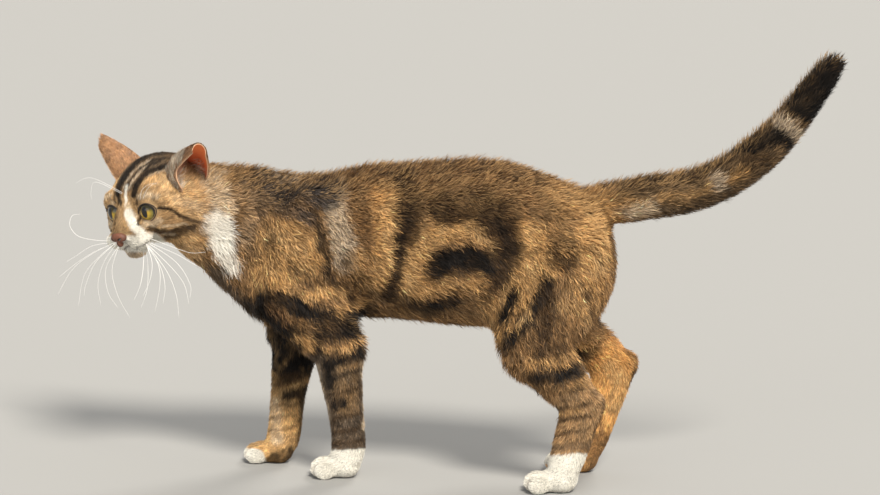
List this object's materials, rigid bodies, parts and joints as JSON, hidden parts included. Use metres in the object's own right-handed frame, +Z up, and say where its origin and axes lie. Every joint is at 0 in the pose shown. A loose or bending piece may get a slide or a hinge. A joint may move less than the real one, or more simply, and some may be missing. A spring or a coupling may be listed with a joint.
{
  "type": "cat figure",
  "caption": "Life-size still model of a short-coated tabby cat, standing with its head turned to its left and its tail raised.",
  "frame": {"origin": "middle of the bounding box in plan, at the floor under the paws", "axes": "the cat faces -X with its tail towards +X, its left side is -Y and +Z is up"},
  "size_m": [0.6555, 0.158, 0.3782],
  "materials": {
    "tabby": "wiry brown tabby coat",
    "dark": "near-black coat of the tail tip",
    "white": "white coat of paws and muzzle",
    "ear": "thin furred ear skin",
    "nose": "moist brick-brown nose leather",
    "eye": "wet gold-green eye"
  },
  "bodies": {
    "root": {"ear_left": "ear", "ear_right": "ear", "eye_left": "eye", "eye_right": "eye", "foreleg_left": "tabby", "foreleg_right": "tabby", "forepaw_left": "white", "forepaw_right": "white", "head": "tabby", "hind_foot_left": "tabby", "hind_foot_right": "tabby", "hind_paw_left": "white", "hind_paw_right": "white", "jaw": "white", "muzzle": "white", "neck": "tabby", "nose": "nose", "tail_middle": "tabby", "tail_root": "tabby", "tail_tip": "dark", "thigh_left": "tabby", "thigh_right": "tabby", "torso": "tabby"}
  },
  "joints": []
}
